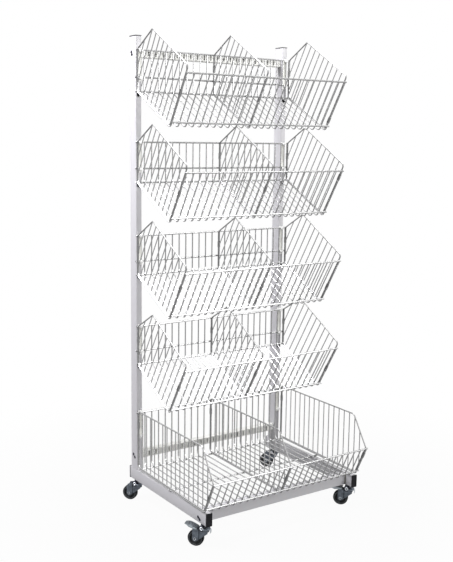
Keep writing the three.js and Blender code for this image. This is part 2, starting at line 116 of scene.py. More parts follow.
class RackWireSizes(bpy.types.PropertyGroup):
    """Wire stock and bends of the baskets and their panels."""

    rib: length("Rib wire", "Thickness of the basket's ribs", 4)
    rail: length("Rail wire", "Thickness of the rails across a basket", 5.5)
    bar: length("Panel bar", "Thickness of the wire round a side panel", 4.5)
    bar_wire: length("Panel wire", "Thickness of the wires across a panel", 3.5)
    play: length("Panel play", "Gap between the ribs and the panels' bars", 0.3)
    weld: length("Weld depth", "How far two welded wires run into each other", 0.6)
    heel_bend: length("Heel bend", "Radius of a rib's bend at the foot of the back", 18)
    toe_bend: length("Toe bend", "Radius of a rib's bend at the foot of the front", 11)
    panel_bend: length("Panel bend", "Bend radius of a panel's bar at the toe", 7)
    tip_bend: length("Tip bend", "Bend radius of a panel's bar at its peak", 6.8)
    end_round: length("Wire end", "How much a cut wire end is rounded", 0.8)
    shortest: length("Shortest wire", "No wire across a panel is shorter", 20)
    clip_length: length("Clip length", "Length of the sheet clips along a panel's edge", 20)
    clip_sheet: length("Clip sheet", "Thickness of the sheet that the clips are folded from", 0.9)
    clip_play: length("Clip play", "Gap between a clip and its wires", 0.1)
    back_clip: length("Back clip", "How far the back clips lie below the panel's top", 46)


class RackTiltSizes(bpy.types.PropertyGroup):
    """The tilted baskets' side, measured from the panel's back corner."""

    back: length("Back height", "Height of the back edge", 126.5)
    peak_forward: length("Peak forward", "How far forward the peak lies", 94.5)
    peak_up: length("Peak height", "How high the peak lies", 179.5)
    lip_forward: length("Lip forward", "How far forward the lip lies", 288.5)
    lip_up: length("Lip height", "How high the lip lies", 41.5)
    brow: length("Brow", "How far the panel runs past the lip along its front edge", 20)
    brow_round: length("Brow radius", "Radius of the corner past the lip", 10)
    toe_forward: length("Toe forward", "How far forward the lowest corner lies", 198)
    toe_down: length("Toe drop", "How far the lowest corner hangs below the back corner", 108)
    pitch: length("Wire pitch", "Pitch of the wires across the panel", 26.5)
    mid_rail: length("Middle rail", "Height of the rail across the back", 41.5)
    low_drop: length("Low rail", "How far the back's foot rail lies below the panel", 4.5)
    head_drop: length("Head rail", "How far the back's top rail lies below the panel's top", 2)
    front_rail: length("Front rail", "How far up the front the lower rail lies", 19)


class RackBinSizes(bpy.types.PropertyGroup):
    """The deep bottom basket's side, measured from the panel's back corner."""

    back: length("Back height", "Height of the back edge", 191)
    shoulder_forward: length("Shoulder forward", "How far forward the shoulder lies", 389.5)
    shoulder_up: length("Shoulder height", "How high the shoulder lies", 188)
    shoulder_round: length("Shoulder radius", "Radius of the shoulder", 16)
    lip_forward: length("Lip forward", "How far forward the lip lies", 451.5)
    lip_up: length("Lip height", "How high the lip lies", 90)
    toe_forward: length("Toe forward", "How far forward the front foot lies", 404)
    toe_down: length("Toe drop", "How far the front foot lies below the back one", 7.5)
    pitch: length("Wire pitch", "Pitch of the wires across the panel", 26.3)
    back_rail: length("Back floor rail", "How far forward the first floor rail lies", 10)
    mid_rail: length("Middle floor rail", "How far forward the second floor rail lies", 208)
    front_rail: length("Front rail", "How far up the front the lower rail lies", 16.5)
    head_drop: length("Head rail", "How far the back's top rail lies below the panel's top", 5.5)
    stub: length("Floor rail stub", "How far the floor rails run past the left panel", 4)


class RackFrameSizes(bpy.types.PropertyGroup):
    """Small sizes of the frame that the solid model leaves plain."""

    corner: length("Tube corner", "Outer corner radius of the frame tube", 2.2)
    wall: length("Tube wall", "Wall of the slotted rails", 1.5)
    slot_width: length("Slot width", "Width of a slot in a cross rail", 4.4)
    slot_height: length("Slot height", "Height of a slot in a cross rail", 15)
    slot_pitch: length("Slot pitch", "Pitch of the slots", 26)
    slot_margin: length("Slot margin", "Plain length at each end of a cross rail", 20)
    bracket: length("Bracket width", "Width of the hook brackets", 15)
    plate: length("Bracket plate", "Thickness of the hook brackets' back plate", 2)
    hook_drop: length("Lower hook", "How far the lower hook lies below the panel's top", 85)
    hook_arm: length("Hook arm", "Thickness of a hook's arm", 2.5)
    hook_lip: length("Hook lip", "Thickness of a hook's lip", 2.2)
    hook_rise: length("Hook rise", "How far the upper hook's lip rises", 4.5)
    hook_play: length("Hook play", "Gap between a hook and its rail", 0.1)
    bracket_foot: length("Bracket foot", "How far the plate runs below the lower rail", 13)
    bead: length("Weld bead", "Thickness of the weld beads on the base", 4.5)
    foot_bead: length("Foot bead", "Thickness of the weld beads at the uprights' feet", 3.2)
    bead_round: length("Bead end", "How much a bead's ends are rounded", 0.8)
    screw: length("Screw head", "Width of the screw heads", 10)
    button: length("Stop button", "Width of the rubber stops under the tilted baskets", 12.5)
    button_drop: length("Stop drop", "How far the stops lie below the panels", 11)


class RackCasterSizes(bpy.types.PropertyGroup):
    """Sizes of the swivel casters."""

    heading: turn("Caster heading", "Which way the wheels trail, from the rack's X", 130)
    trail: length("Trail", "How far the wheel's axle lies behind the swivel", 28)
    radius: length("Wheel radius", "Radius of the wheels", 25)
    axle: length("Axle", "Radius of the axles", 3)
    sheet: length("Fork sheet", "Thickness of the fork's sheet", 2)
    spread: length("Leg spread", "Distance from the middle to the inside of a leg", 10.3)
    foot: length("Leg foot", "Radius of a leg's end round the axle", 8.5)
    crease: length("Crease", "How far behind the swivel a leg bends in towards it", 15.6)
    slope: amount("Cheek slope", "How steeply a leg's front part bends in", 0.115, 0, 1)
    groove: length("Groove depth", "Depth of the groove pressed along the crease", 1.8)
    groove_half: length("Groove width", "Half the width of the groove", 1.7)
    groove_inside: amount("Groove inside", "Share of the depth that shows inside", 0.35, 0, 1)
    boss_behind: length("Boss place", "How far behind the swivel a leg's boss lies", 7)
    boss_up: length("Boss height", "Height of the boss", 60.8)
    boss: length("Boss radius", "Radius of a leg's ear round its boss", 9.3)
    nut: length("Kingpin nut", "Radius of the kingpin's nut over its corners", 8.4)
    tab: length("Brake tab", "Half the width of the tab in front of a brake", 6.5)
    pedal_forward: length("Pedal pivot", "How far behind the swivel the pedal's pin lies", 30.5)
    pedal_up: length("Pedal height", "Height of the pedal's pin", 57.5)
    pedal_pin: length("Pedal pin", "Radius of the pedal's pin", 3.2)
    pedal_play: length("Pedal play", "Gap between the pedal's pin and a leg", 0.3)
    pedal_lift: turn("Lifted pedal", "How far the free pedal is lifted", 21)


class RackColours(bpy.types.PropertyGroup):
    """Colours of the finishes."""

    paint: tint("Frame paint", "Silver powder coat on the frame", (0.475, 0.47, 0.485))
    rail: tint("Slotted rail paint", "Pale paint on the slotted cross rails", (0.74, 0.74, 0.71))
    bracket: tint("Bracket paint", "Paint on the hook brackets", (0.86, 0.86, 0.81))
    wire: tint("Bright wire", "Plating on the baskets", (0.30, 0.30, 0.30))
    clip: tint("Clips", "Plating on the sheet clips", (0.20, 0.20, 0.20))
    caster: tint("Caster plating", "Plating on the casters' steel", (0.10, 0.115, 0.135))
    pedal: tint("Pedal plating", "Plating on the brake pedals", (0.13, 0.145, 0.155))
    bolt: tint("Bright bolts", "Plating on the casters' bolts and tabs", (0.52, 0.55, 0.58))
    weld: tint("Welds", "Bare weld beads on the base", (0.16, 0.155, 0.12))
    plastic: tint("Black plastic", "End caps", (0.010, 0.010, 0.012))
    rubber: tint("Tyre", "Tyres of the wheels", (0.004, 0.0045, 0.0055))
    hub: tint("Wheel hub", "Hubs of the wheels", (0.045, 0.048, 0.05))
    # Also used for the fork's washers and for the dark discs of painted shade in its bolt and rivet
    # holes.
    screw: tint("Screws", "Screw heads", (0.02, 0.02, 0.03))


class RackStage(bpy.types.PropertyGroup):
    """Camera and light."""

    eye: bpy.props.FloatVectorProperty(
        name="Camera place", description="Where the camera stands",
        default=(-1.65173, -2.32149, 1.21023), size=3, unit="LENGTH", subtype="TRANSLATION"
    )
    heading: turn("Heading", "Which way the camera looks, clockwise from the rack's Y", 34.23)
    dip: turn("Dip", "How far down the camera looks", 9.0)
    roll: turn("Roll", "How far the camera is rolled", 0.72)
    lens: amount("Lens", "Focal length in millimetres on a 36 mm long side", 57.23, 1, 500)
    key: amount("Left lamp", "Power of the lamp on the left", 80, 0, 5000)
    fill: amount("Front lamp", "Power of the lamp in front", 88, 0, 5000)
    top: amount("Top lamp", "Power of the lamp above", 50, 0, 5000)
    air: amount("Room light", "Strength of the light from all round", 0.22, 0, 10)
    gloss: amount("White in gloss", "Share of the white room that gloss reflects", 0.6, 0, 1)


# Nodes.


def plug(tree, socket, value):
    """Sets an input to a value, or joins it to another node's output."""
    if isinstance(value, bpy.types.NodeSocket):
        tree.links.new(value, socket)
    else:
        socket.default_value = value


def node(tree, kind, inputs, **settings):
    """A new node, with its settings made and its inputs set or joined."""
    made = tree.nodes.new("ShaderNode" + kind)
    for name, value in settings.items():
        setattr(made, name, value)
    for key, value in inputs.items():
        plug(tree, made.inputs[key], value)
    return made


def start_finish(name, colour, roughness, metallic):
    """A new material with its shader's plain values set."""
    made = bpy.data.materials.new(name)
    made.use_nodes = True
    made.diffuse_color = (*colour, 1)
    shader = made.node_tree.nodes["Principled BSDF"]
    shader.inputs["Base Color"].default_value = (*colour, 1)
    shader.inputs["Roughness"].default_value = roughness
    shader.inputs["Metallic"].default_value = metallic
    return made, made.node_tree, shader


def spread(tree, source, low, high, to_low, to_high):
    """Carries a value from one range to another, held at both ends."""
    ends = {"From Min": low, "From Max": high, "To Min": to_low, "To Max": to_high}
    return node(tree, "MapRange", {"Value": source, **ends}).outputs["Result"]


def noise(tree, scale, detail=3, stretch=(1, 1, 1)):
    """Noise on the piece's own coordinates, its scale in lumps per metre."""
    spot = node(tree, "TexCoord", {}).outputs["Object"]
    spot = node(tree, "Mapping", {"Vector": spot, "Scale": stretch}).outputs["Vector"]
    return node(tree, "TexNoise", {"Vector": spot, "Scale": scale, "Detail": detail}).outputs["Fac"]


def patches(tree, scale, low, high, detail=3):
    """A value that drifts between two in patches, their scale in patches per metre."""
    return spread(tree, noise(tree, scale, detail), 0.3, 0.7, low, high)


def edges(tree, low=0.5, high=0.56):
    """A mask of the raised edges."""
    return spread(tree, node(tree, "NewGeometry", {}).outputs["Pointiness"], low, high, 0, 1)


def facing(tree, way, low, high, to_low, to_high):
    """A value that grows as the surface turns to face one way."""
    normal = node(tree, "NewGeometry", {}).outputs["Normal"]
    turned = node(tree, "VectorMath", {0: normal, 1: way}, operation="DOT_PRODUCT")
    return spread(tree, turned.outputs["Value"], low, high, to_low, to_high)


def shade(colour, factor):
    """A colour made lighter or darker."""
    return tuple(min(1, part * factor) for part in colour)


def between(tree, source, first, second, low=0.35, high=0.65):
    """A colour between two, by a value."""
    ramp = node(tree, "ValToRGB", {"Fac": source})
    for index, (place, colour) in enumerate(((low, first), (high, second))):
        ramp.color_ramp.elements[index].position = place
        ramp.color_ramp.elements[index].color = (*colour, 1)
    return ramp.outputs["Color"]


def over(tree, mask, under, colour, blend="MIX"):
    """One colour laid over another, or multiplied with it, by a mask."""
    inputs = {0: mask, 6: under, 7: colour}
    return node(tree, "Mix", inputs, data_type="RGBA", blend_type=blend).outputs[2]


def dust_and_shade_in_corners(tree, under, reach, dark):
    """A colour darkened in narrow corners by how hidden they are: painted shade, and the dust and
    grease that gather there.
    """
    hidden = node(tree, "AmbientOcclusion", {"Distance": reach}, samples=8)
    corner_dust_and_shade = between(tree, hidden.outputs["AO"], (dark, dark, dark), (1, 1, 1), 0.2, 0.8)
    return over(tree, 1, under, corner_dust_and_shade, "MULTIPLY")


def coat(tree, shader, colour, roughness, relief, depth, strength=0.5):
    """Joins a colour, a roughness and a fine relief to the shader, its depth in metres."""
    raised = node(tree, "Bump", {"Height": relief, "Distance": depth, "Strength": strength})
    plug(tree, shader.inputs["Base Color"], colour)
    plug(tree, shader.inputs["Roughness"], roughness)
    plug(tree, shader.inputs["Normal"], raised.outputs["Normal"])


def painted(name, colour, corner_dust_and_shade=0.5):
    """Powder coat: orange peel, faint clouds, worn edges, and dust and painted shade in its
    corners.
    """
    made, tree, shader = start_finish(name, colour, 0.42, 0.06)
    clouds = between(tree, noise(tree, 9, 4), shade(colour, 0.95), shade(colour, 1.04))
    rubbed_and_painted_light = over(tree, edges(tree), clouds, (*shade(colour, 1.22), 1))
    # Dust and painted shade, darker in the narrow corners.
    with_corner_dust_and_shade = dust_and_shade_in_corners(tree, rubbed_and_painted_light, 0.012, corner_dust_and_shade)
    coat(tree, shader, with_corner_dust_and_shade, patches(tree, 60, 0.36, 0.5), noise(tree, 900, 2), 0.06 * MM)
    return made


def plated(
    name, colour, metallic=0.75, rough=(0.26, 0.44), cloud=160, painted_light_away=0.7, rubbed_and_painted_light=1.35,
    rise=(-0.75, 0.9), mottle=0.25, corner_dust_and_shade=0.35, way=(0, 0, 1)
):
    """Plating with painted light: one tone where the surface faces a way and another where it
    faces away, mottled and streaked, with dust and painted shade in its corners.

    rough is the span of the roughness, cloud the mottling's scale, the next two the painted
    tones where the surface faces away from the way and towards it, and rise how far the surface
    faces the way where each of them starts.
    """
    made, tree, shader = start_finish(name, colour, sum(rough) / 2, metallic)
    # Painted light: the tone is set by which way the surface faces, one tone towards the way and
    # the other away from it.
    turned = facing(tree, way, *rise, 0, 1 - mottle)
    mottled = {0: turned, 1: patches(tree, cloud, 0, mottle, 4)}
    tone = node(tree, "Math", mottled, operation="ADD").outputs[0]
    lit = between(tree, tone, shade(colour, painted_light_away), shade(colour, rubbed_and_painted_light), 0, 1)
    bright = over(tree, edges(tree, 0.52, 0.62), lit, (*shade(colour, 1.35), 1))
    streaks = noise(tree, 1400, 2, (1, 1, 0.3))
    # Dust and painted shade, darker in the narrow corners.
    with_corner_dust_and_shade = dust_and_shade_in_corners(tree, bright, 0.006, corner_dust_and_shade)
    coat(tree, shader, with_corner_dust_and_shade, patches(tree, 400, *rough), streaks, 0.05 * MM, 0.4)
    return made


def moulded(name, colour, rough=(0.52, 0.6, 0.7), grain=1200, dust=2.4, gloss=0.06):
    """Moulded plastic or rubber: fine grain, and dust that lies in patches.

    rough is the lowest, middle and highest roughness, and dust the shade of the patches.
    """
    low, middle, high = rough
    made, tree, shader = start_finish(name, colour, middle, 0)
    shader.inputs["Specular IOR Level"].default_value = gloss
    tone = between(tree, noise(tree, 70, 5), shade(colour, 0.8), shade(colour, dust), 0.4, 0.85)
    worn = over(tree, edges(tree, 0.51, 0.6), tone, (*shade(colour, 2.2), 1))
    # Dust and painted shade, darker in the narrow corners.
    with_corner_dust_and_shade = dust_and_shade_in_corners(tree, worn, 0.008, 0.2)
    coat(tree, shader, with_corner_dust_and_shade, patches(tree, 160, low, high), noise(tree, grain), 0.12 * MM)
    return made


# The looks: each one's slot, its kind of finish, and what differs from that kind's usual values.
LOOKS = {
    "paint": ("frame_paint", painted, {}),
    "rail": ("frame_paint", painted, {}),
    "bracket": ("frame_paint", painted, {"corner_dust_and_shade": 0.85}),
    "weld": ("frame_paint", painted, {}),
    # The wire's two tones are painted light from above and a little from the right: lit on top,
    # shaded underneath.
    "wire": ("bright_wire", plated, {
        "metallic": 0.8, "rough": (0.2, 0.32), "cloud": 220, "painted_light_away": 0.25, "rubbed_and_painted_light": 3.3,
        "rise": (-0.3, 0.36), "mottle": 0.06, "way": (0.3, 0, 0.95),
    }),
    # The clips keep the usual painted light: a little lighter on top, darker underneath.
    "clip": ("bright_wire", plated, {}),
    # The casters' tones are painted light from above, and their corners hold deep painted shade.
    "caster": ("caster_zinc", plated, {
        "metallic": 0.7, "rough": (0.3, 0.46), "cloud": 110, "painted_light_away": 0.3, "rubbed_and_painted_light": 2.2,
        "mottle": 0.6, "corner_dust_and_shade": 0.08,
    }),
    # The pedals' tones are painted light the other way round: a painted highlight on their sides,
    # shade on top.
    "pedal": ("caster_zinc", plated, {
        "metallic": 0.7, "rough": (0.3, 0.46), "cloud": 260, "painted_light_away": 6.2, "rubbed_and_painted_light": 0.5,
        "rise": (0.1, 0.6), "mottle": 0.3,
    }),
    # The screws and bolts keep the usual painted light: a little lighter on top, darker underneath.
    "screw": ("caster_zinc", plated, {}),
    "bolt": ("caster_zinc", plated, {}),
    "plastic": ("black_plastic", moulded, {
        "rough": (0.37, 0.45, 0.55), "grain": 1800, "dust": 1.8, "gloss": 0.14,
    }),
    "rubber": ("wheel_rubber", moulded, {}),
    "hub": ("wheel_rubber", moulded, {}),
}


def finish(look):
    """The material of one look, made the first time that it is asked for."""
    name = "rack_" + look
    ready = bpy.data.materials.get(name)
    if ready:
        return ready
    make, changes = LOOKS[look][1:]
    return make(name, tuple(getattr(bpy.context.scene.rack_colours, look)), **changes)


# Shapes.


def make_piece(name, work, look, body, *stands_for):
    """Turns worked mesh into a piece that rides on a body and stands for solids of the model."""
    bmesh.ops.recalc_face_normals(work, faces=work.faces)
    mesh = bpy.data.meshes.new(name)
    work.to_mesh(mesh)
    work.free()
    mesh.polygons.foreach_set("use_smooth", [True] * len(mesh.polygons))
    mesh.set_sharp_from_angle(angle=SMOOTH_ANGLE)
    mesh.materials.append(finish(look))
    piece = bpy.data.objects.new(name, mesh)
    bpy.context.scene.collection.objects.link(piece)
    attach(piece, body)
    if stands_for:
        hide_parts(*stands_for)


def boxed(name):
    """A solid's box: its low and high corners and its middle."""
    low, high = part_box(name)
    return low, high, (low + high) / 2


def across(axis):
    """The two axes across one."""
    return [other for other in range(3) if other != axis]


def along_axis(axis, middle, start=0, way=1):
    """Gives the place of (a, b, along) for a section that runs along an axis of the row frame."""
    first, second = across(axis)

    def place(a, b, along):
        spot = Vector(middle)
        spot[axis] = start + way * along
        spot[first] += a
        spot[second] += b
        return spot

    return place


def in_mm(spots):
    """Flat spots that are given in millimetres."""
    return [Vector(spot) * MM for spot in spots]


def quarter(spot, axis, way=1):
    """A quarter turn about an axis through a spot."""
    return Matrix.Translation(spot) @ Matrix.Rotation(way * math.pi / 2, 4, axis)


def skin(work, rings, closed=False):
    """Joins rings of points into a skin, and closes its two ends."""
    made = [[work.verts.new(spot) for spot in ring] for ring in rings]
    pairs = list(zip(made, made[1:]))
    if closed:
        pairs.append((made[-1], made[0]))
    for near, far in pairs:
        for index in range(len(near)):
            after = (index + 1) % len(near)
            work.faces.new((near[index], near[after], far[after], far[index]))
    if not closed:
        work.faces.new(made[0][::-1])
        work.faces.new(made[-1])


def wire(work, line, thickness, sides=8, closed=False, end_round=0.0):
    """A round wire along a line of points."""
    radius = thickness / 2
    count = len(line)
    ways = [(line[(index + 1) % count] - line[index]).normalized() for index in range(count)]
    radii = [radius] * count
    if not closed:
        ways[-1] = ways[-2]
        if end_round:
            first, last = line[0], line[-1]
            line = [
                first, first + ways[0] * end_round, *line[1:-1], last - ways[-1] * end_round, last
            ]
            ways = [ways[0], *ways, ways[-1]]
            radii = [radius - end_round, *[radius] * count, radius - end_round]
    normal = ways[0].orthogonal().normalized()
    rings = []
    for index, spot in enumerate(line):
        before = ways[index - 1] if closed or index else ways[0]
        tangent = (before + ways[index]).normalized()
        normal = (normal - tangent * normal.dot(tangent)).normalized()
        side = tangent.cross(normal)
        rings.append([
            spot + (normal * math.cos(angle) + side * math.sin(angle)) * radii[index]
            for angle in (2 * math.pi * (step + 0.5) / sides for step in range(sides))
        ])
    skin(work, rings, closed)


def rounded(corners, radii, closed=False, steps=5):
    """A flat line with each corner rounded to its own radius."""
    line = []
    for index, corner in enumerate(corners):
        radius = radii[index]
        if not radius or (not closed and index in (0, len(corners) - 1)):
            line.append(corner.copy())
            continue
        before = (corners[index - 1] - corner).normalized()
        after = (corners[(index + 1) % len(corners)] - corner).normalized()
        half = before.angle(after) / 2
        middle = corner + (before + after).normalized() * (radius / math.sin(half))
        start = corner + before * (radius / math.tan(half)) - middle
        sweep = (math.pi - 2 * half) * (1 if before.angle_signed(after) > 0 else -1)
        for step in range(steps + 1):
            line.append(middle + Matrix.Rotation(sweep * step / steps, 2) @ start)
    return line


def rounded_mm(corners, radii, steps=3):
    """A closed outline that is given in millimetres, with its corners rounded."""
    return rounded(in_mm(corners), [radius * MM for radius in radii], True, steps)


def rounded_box(width, height, radius):
    """The corners of a flat rectangle with rounded corners, round its middle."""
    x, y = width / 2, height / 2
    corners = [Vector(spot) for spot in ((-x, -y), (x, -y), (x, y), (-x, y))]
    return rounded(corners, [radius] * 4, True, 3)


def arc(middle, radius, start, stop, steps):
    """Points on a flat arc, its ends given in degrees."""
    line = []
    for step in range(steps + 1):
        angle = math.radians(start + (stop - start) * step / steps)
        line.append(middle + Vector((math.cos(angle), math.sin(angle))) * radius)
    return line


def left_of(way):
    """The normal on the left of a flat direction."""
    return Vector((-way.y, way.x))


def meet(first, first_way, second, second_way):
    """Where two flat lines cross."""
    share = (second - first).cross(second_way) / first_way.cross(second_way)
    return first + first_way * share


def offset_line(corners, gap):
    """An open line moved to its right by a gap."""
    ways = [(b - a).normalized() for a, b in zip(corners, corners[1:])]
    starts = [a - left_of(way) * gap for a, way in zip(corners, ways)]
    line = [starts[0]]
    for index in range(1, len(ways)):
        line.append(meet(starts[index - 1], ways[index - 1], starts[index], ways[index]))
    line.append(corners[-1] - left_of(ways[-1]) * gap)
    return line


def crossings(outline, spot, way):
    """Both ends of a line across a closed outline."""
    far, apart = 2.0, 0.01 * MM
    hits = []
    for a, b in zip(outline, outline[1:] + outline[:1]):
        hit = intersect_line_line_2d(spot - way * far, spot + way * far, a, b)
        if hit and all((hit - other).length > apart for other in hits):
            hits.append(hit)
    return hits


def prism(work, outline, place, start, stop):
    """Runs a flat outline along an axis. place puts (a, b, along) in the row frame."""
    skin(work, [[place(*spot, along) for spot in outline] for along in (start, stop)])


def plate(work, outline, place, start, stop, ease=0.4 * MM):
    """A prism with lightly eased edges."""
    made = bmesh.new()
    prism(made, outline, place, start, stop)
    bmesh.ops.recalc_face_normals(made, faces=made.faces)
    rim = [edge for edge in made.edges if edge.calc_face_angle(0) > EASED_ANGLE]
    bmesh.ops.bevel(made, geom=rim, offset=ease, segments=2, profile=0.5, affect="EDGES")
    join(work, made)


def join(work, part):
    """Adds one mesh in the making to another."""
    mesh = bpy.data.meshes.new("joined")
    part.to_mesh(mesh)
    part.free()
    work.from_mesh(mesh)
    bpy.data.meshes.remove(mesh)


def lathe(work, profile, facets, place):
    """Turns a closed profile of (radius, height) round the Z of a place."""
    made = []
    for step in range(facets):
        angle = 2 * math.pi * step / facets
        ring = []
        for index, (radius, height) in enumerate(profile):
            if made and radius == 0:
                ring.append(made[0][index])
            else:
                local = Vector((radius * math.cos(angle), radius * math.sin(angle), height))
                ring.append(work.verts.new(place @ local))
        made.append(ring)
    for near, far in zip(made, made[1:] + made[:1]):
        for index in range(len(profile)):
            after = (index + 1) % len(profile)
            face = list(dict.fromkeys((near[index], near[after], far[after], far[index])))
            if len(face) > 2:
                work.faces.new(face)


def pin(work, radius, half, place):
    """A round pin along the Z of a place, its middle there."""
    lathe(work, [(0, -half), (radius, -half), (radius, half), (0, half)], 20, place)


# Baskets.


class Hanging:
    """Where one basket hangs, read from the solid model, and its flat lines seen from its side."""

    def __init__(self, tier):
        wires = bpy.context.scene.rack_wires
        self.deep = tier == "bottom"
        self.side = bpy.context.scene.rack_bin if self.deep else bpy.context.scene.rack_tilt
        self.ends = {}
        for part in BASKET_PARTS:
            low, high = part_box(f"{tier}_basket_{part}")
            self.ends[part] = [low.x, high.x]
        self.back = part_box(tier + "_left_panel")[1].y - SOLID_BAR / 2
        self.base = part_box(tier + "_basket_back")[1].z - SOLID_RAIL / 2 - self.side.back
        self.panel_x = [boxed(f"{tier}_{panel}")[2].x for panel in PANELS]
        self.rib_pitch = (self.panel_x[2] - self.panel_x[0]) / (RIBS - 1)
        self.rib_x = [self.panel_x[0] + self.rib_pitch * rib for rib in range(RIBS)]
        if self.deep:
            self.ends["floor"][0] = self.panel_x[0] - self.side.stub
        self.gap = (SOLID_RAIL + wires.bar) / 2 + wires.play
        self.out = (wires.rib + wires.rail) / 2 - wires.weld
        self.draw()

    def draw(self):
        """The panel's corners, its lip, the way up its front, and the ribs' corners outside it."""
        side = self.side
        toe = Vector((side.toe_forward, -side.toe_down))
        self.lip = Vector((side.lip_forward, side.lip_up))
        self.front = (self.lip - toe).normalized()
        if self.deep:
            far = [self.lip, Vector((side.shoulder_forward, side.shoulder_up))]
        else:
            far = [self.lip + self.front * side.brow, Vector((side.peak_forward, side.peak_up))]
        self.corners = [Vector((0, 0)), toe, *far, Vector((0, side.back))]
        head = Vector((0, side.back - side.head_drop))
        self.ribs = offset_line([head, self.corners[0], toe, self.lip], self.gap)

    def spot(self, x, flat):
        """A spot of the basket in the row frame, from its flat place forward and up."""
        return Vector((x, self.back - flat.x, self.base + flat.y))

    def hugged(self, spot):
        """A rail's place moved in on to the outside of the ribs' bend at the heel."""
        bend = bpy.context.scene.rack_wires.heel_bend
        heel = self.ribs[1]
        before = (self.ribs[0] - heel).normalized()
        after = (self.ribs[2] - heel).normalized()
        half = before.angle(after) / 2
        along = max((spot - heel).dot(before), (spot - heel).dot(after))
        if along > bend / math.tan(half):
            return spot
        middle = heel + (before + after).normalized() * (bend / math.sin(half))
        return middle + (spot - middle).normalized() * (bend + self.out)

    def rails(self):
        """Where the rails cross, each with the part of the basket that it belongs to."""
        side, ribs = self.side, self.ribs
        low_front = ribs[2] + self.front * side.front_rail - left_of(self.front) * self.out
        rails = [(ribs[0], "back"), (ribs[3], "front"), (low_front, "front")]
        behind = ribs[0].x - self.out
        if not self.deep:
            rails.append((Vector((behind, side.mid_rail)), "back"))
            return [*rails, (self.hugged(Vector((behind, -side.low_drop))), "floor")]
        floor = (ribs[2] - ribs[1]).normalized()
        for forward in (side.back_rail, side.mid_rail):
            spot = ribs[1] + floor * forward - left_of(floor) * self.out
            rails.append((self.hugged(spot), "floor"))
        return rails

    def panel_lines(self):
        """The panel's rounded outline, and the lines of the wires across it."""
        wires = bpy.context.scene.rack_wires
        side = self.side
        if self.deep:
            bends = (wires.tip_bend, side.shoulder_round)
            start, step, way = self.corners[0], Vector((side.pitch, 0)), Vector((0, 1))
        else:
            bends = (side.brow_round, wires.tip_bend)
            start, step, way = self.lip, left_of(self.front) * side.pitch, self.front
        radii = [wires.panel_bend, wires.panel_bend, *bends, wires.tip_bend]
        outline = rounded(self.corners, radii, True, 4)
        lines = []
        for count in range(1, MOST_WIRES):
            ends = crossings(outline, start + step * count, way)
            if len(ends) < 2 or (ends[0] - ends[1]).length < wires.shortest:
                break
            lines.append(ends[:2])
        return outline, lines


class RACK_OT_baskets(bpy.types.Operator):
    """Welds each basket from its bent ribs and straight rails"""

    bl_idname = "rack.baskets"
    bl_label = "Wire baskets"

    def execute(self, context):
        wires = context.scene.rack_wires
        for tier, body in TIERS:
            hang = Hanging(tier)
            bent = rounded(hang.ribs, [0, wires.heel_bend, wires.toe_bend, 0], steps=7)
            work = bmesh.new()
            for x in hang.rib_x:
                wire(work, [hang.spot(x, flat) for flat in bent], wires.rib)
            for flat, part in hang.rails():
                ends = [hang.spot(x, flat) for x in hang.ends[part]]
                wire(work, ends, wires.rail, 10, end_round=wires.end_round)
            make_piece(
                tier + "_basket_wires", work, "wire", body,
                *[f"{tier}_basket_{part}" for part in BASKET_PARTS]
            )
        return {"FINISHED"}


class RACK_OT_panels(bpy.types.Operator):
    """Bends the side panels and dividers, and welds the wires across them"""

    bl_idname = "rack.panels"
    bl_label = "Side panels and dividers"

    def execute(self, context):
        wires = context.scene.rack_wires
        for tier, body in TIERS:
            hang = Hanging(tier)
            outline, lines = hang.panel_lines()
            for panel, x in zip(PANELS, hang.panel_x):
                work = bmesh.new()
                wire(work, [hang.spot(x, flat) for flat in outline], wires.bar, closed=True)
                for ends in lines:
                    wire(work, [hang.spot(x, flat) for flat in ends], wires.bar_wire)
                make_piece(f"{tier}_{panel}_wires", work, "wire", body, f"{tier}_{panel}")
        return {"FINISHED"}


class RACK_OT_clips(bpy.types.Operator):
    """Folds the sheet clips that lock each panel to a rib"""

    bl_idname = "rack.clips"
    bl_label = "Panel clips"

    def execute(self, context):
        wires = context.scene.rack_wires
        for tier, body in TIERS:
            hang = Hanging(tier)
            back = Vector((0, hang.side.back - wires.back_clip))
            for panel, x, share in zip(PANELS, hang.panel_x, CLIP_SHARES[tier]):
                work = bmesh.new()
                self.fold(work, wires, hang, x, back, Vector((0, -1)))
                self.fold(work, wires, hang, x, hang.lip.lerp(hang.corners[1], share), hang.front)
                make_piece(f"{tier}_{panel}_clips", work, "clip", body)
        return {"FINISHED"}

    def fold(self, work, wires, hang, x, spot, way):
        """One clip, wrapped round the panel's bar and the rib beside it."""
        out = -left_of(way)
        inner = self.band(wires, wires.clip_play, hang.gap)
        outer = self.band(wires, wires.clip_play + wires.clip_sheet, hang.gap)
        half = wires.clip_length / 2
        rings = []
        for near, far in zip(inner, outer):
            corners = ((far, -half), (far, half), (near, half), (near, -half))
            rings.append([
                hang.spot(x + flat.x, spot + out * flat.y + way * along) for flat, along in corners
            ])
        skin(work, rings)

    def band(self, wires, play, gap):
        """A band round two wires, open on one side of the rib."""
        round_bar = arc(Vector((0, 0)), wires.bar / 2 + play, 180, 360, 8)
        return round_bar + arc(Vector((0, gap)), wires.rib / 2 + play, 0, 135, 6)


# Frame.


def upright_front():
    """Where the uprights' front faces lie. The caps' rims stand out in front of them."""
    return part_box("left_upright_cap")[0].y + CAP_RIM


